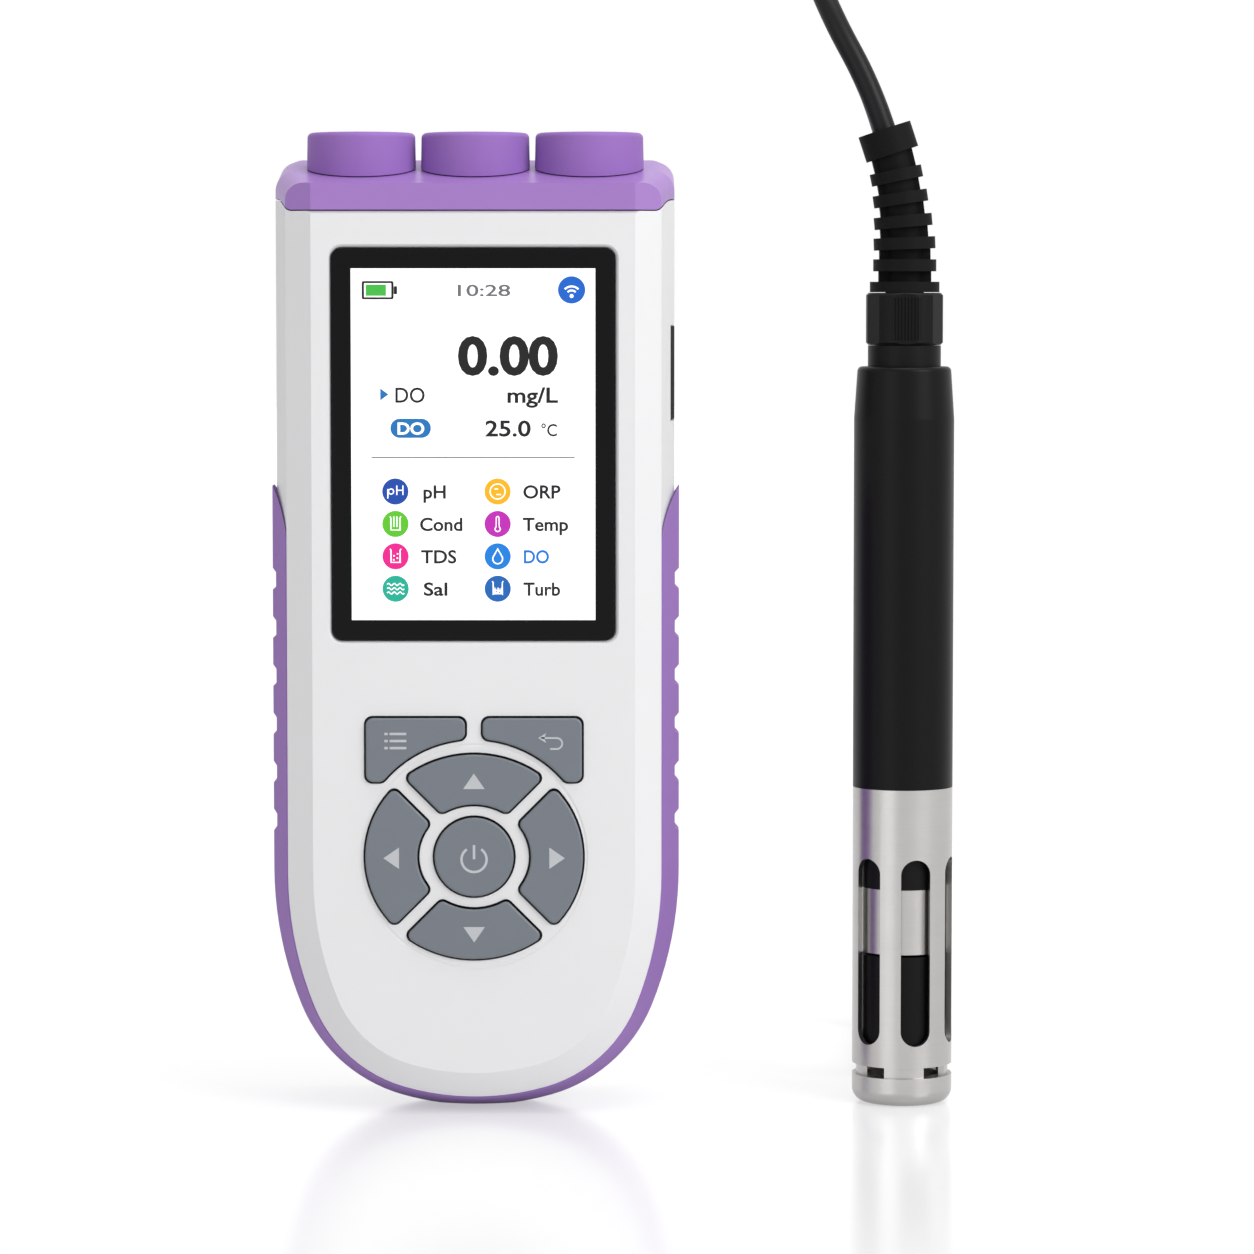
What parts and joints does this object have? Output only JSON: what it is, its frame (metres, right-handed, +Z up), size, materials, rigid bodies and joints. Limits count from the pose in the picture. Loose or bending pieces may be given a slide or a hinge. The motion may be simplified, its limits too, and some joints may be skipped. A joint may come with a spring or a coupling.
{
  "type": "dissolved oxygen meter",
  "caption": "Hand-held dissolved oxygen meter with a large display, keypad and rubber grip, and an optical probe on a lead.",
  "frame": {"origin": "on the floor, under the middle of the box round the meter and the probe", "axes": "+Z up; -Y is the side the display and keys face; the probe stands at +X of the meter"},
  "size_m": [0.1433, 0.139, 0.2415],
  "materials": {
    "white_shell": "satin",
    "purple_rubber": "matte",
    "purple_plastic": "satin",
    "dark_rubber": "matte",
    "key_grey": "satin",
    "display_glass": "gloss",
    "display_panel": "gloss",
    "black_plastic": "satin",
    "probe_black": "satin",
    "probe_steel": "brushed",
    "socket_metal": "satin",
    "shield_metal": "satin",
    "screw_steel": "satin",
    "contact_gold": "satin",
    "board_green": "satin",
    "battery_wrap": "satin",
    "sensing_disc": "satin",
    "cord_jacket": "satin"
  },
  "bodies": {
    "meter": {"front_shell": "white_shell", "rear_shell": "white_shell", "case_seal": "dark_rubber", "grip_band": "purple_rubber", "top_cover": "purple_plastic", "top_seal": "dark_rubber", "sensor_sockets": "socket_metal", "socket_inserts": "black_plastic", "socket_seals": "dark_rubber", "socket_nuts": "socket_metal", "display_window": "display_glass", "window_gasket": "dark_rubber", "display_panel": "display_panel", "display_carrier": "black_plastic", "key_contacts": "contact_gold", "keypad_board": "board_green", "main_board": "board_green", "board_screws": "screw_steel", "radio_module": "shield_metal", "buzzer": "black_plastic", "data_port": "shield_metal", "case_screws": "screw_steel", "battery": "battery_wrap", "flap_pin": "screw_steel"},
    "key_menu": {"key_menu": "key_grey"},
    "key_back": {"key_back": "key_grey"},
    "key_up": {"key_up": "key_grey"},
    "key_left": {"key_left": "key_grey"},
    "key_down": {"key_down": "key_grey"},
    "key_right": {"key_right": "key_grey"},
    "key_power": {"key_power": "key_grey"},
    "cap_left": {"cap_left": "purple_rubber"},
    "cap_middle": {"cap_middle": "purple_rubber"},
    "cap_right": {"cap_right": "purple_rubber"},
    "port_flap": {"port_flap": "dark_rubber"},
    "battery_door": {"battery_door": "white_shell", "door_seal": "dark_rubber", "door_screws": "screw_steel"},
    "probe": {"sensor_body": "black_plastic", "sensor_ring": "probe_steel", "optics_block": "black_plastic", "probe_seals": "dark_rubber", "probe_board": "board_green", "probe_tube": "probe_black", "probe_head": "probe_black", "gland_body": "black_plastic", "gland_seal": "dark_rubber", "strain_relief": "dark_rubber", "cord_tube": "cord_jacket", "cord_hank": "cord_jacket", "cord_tail": "cord_jacket", "hank_tie": "dark_rubber", "plug_body": "black_plastic", "plug_pins": "contact_gold"},
    "gland_nut": {"gland_nut": "black_plastic"},
    "guard": {"guard": "probe_steel"},
    "sensor_cap": {"sensor_cap": "probe_black", "sensor_window": "sensing_disc"},
    "plug_ring": {"plug_ring": "socket_metal"}
  },
  "joints": [
    {"name": "key_menu_press", "type": "slide", "parent": "meter", "child": "key_menu", "axis": [0, 1, 0], "range_m": [0, 0.0006], "stiffness_N_per_m": 900},
    {"name": "key_back_press", "type": "slide", "parent": "meter", "child": "key_back", "axis": [0, 1, 0], "range_m": [0, 0.0006], "stiffness_N_per_m": 900},
    {"name": "key_up_press", "type": "slide", "parent": "meter", "child": "key_up", "axis": [0, 1, 0], "range_m": [0, 0.0006], "stiffness_N_per_m": 900},
    {"name": "key_left_press", "type": "slide", "parent": "meter", "child": "key_left", "axis": [0, 1, 0], "range_m": [0, 0.0006], "stiffness_N_per_m": 900},
    {"name": "key_down_press", "type": "slide", "parent": "meter", "child": "key_down", "axis": [0, 1, 0], "range_m": [0, 0.0006], "stiffness_N_per_m": 900},
    {"name": "key_right_press", "type": "slide", "parent": "meter", "child": "key_right", "axis": [0, 1, 0], "range_m": [0, 0.0006], "stiffness_N_per_m": 900},
    {"name": "key_power_press", "type": "slide", "parent": "meter", "child": "key_power", "axis": [0, 1, 0], "range_m": [0, 0.0006], "stiffness_N_per_m": 900},
    {"name": "cap_left_lift", "type": "slide", "parent": "meter", "child": "cap_left", "axis": [0, 0, 1], "range_m": [0, 0.03]},
    {"name": "cap_middle_lift", "type": "slide", "parent": "meter", "child": "cap_middle", "axis": [0, 0, 1], "range_m": [0, 0.03]},
    {"name": "cap_right_lift", "type": "slide", "parent": "meter", "child": "cap_right", "axis": [0, 0, 1], "range_m": [0, 0.03]},
    {"name": "port_flap_swing", "type": "hinge", "parent": "meter", "child": "port_flap", "pos_m": [0.01128, 0.0054, 0.1481], "axis": [0, 0, 1], "range_deg": [0, 85]},
    {"name": "battery_door_off", "type": "slide", "parent": "meter", "child": "battery_door", "axis": [0, 1, 0], "range_m": [0, 0.03]},
    {"name": "probe_lift", "type": "slide", "parent": "meter", "child": "probe", "axis": [0, 0, 1], "range_m": [0, 0.15]},
    {"name": "gland_nut_turn", "type": "hinge", "parent": "probe", "child": "gland_nut", "pos_m": [0.05862, 0, 0.158], "axis": [0, 0, 1], "range_deg": [0, 360]},
    {"name": "guard_turn", "type": "hinge", "parent": "probe", "child": "guard", "pos_m": [0.05862, 0, 0.06], "axis": [0, 0, 1], "range_deg": [0, 360]},
    {"name": "sensor_cap_turn", "type": "hinge", "parent": "probe", "child": "sensor_cap", "pos_m": [0.05862, 0, 0.02], "axis": [0, 0, 1], "range_deg": [0, 360]},
    {"name": "plug_ring_turn", "type": "hinge", "parent": "probe", "child": "plug_ring", "pos_m": [0.06102, 0.0239, 0.0397], "axis": [-0.0581, -0.9983, 0], "range_deg": [0, 90]}
  ]
}
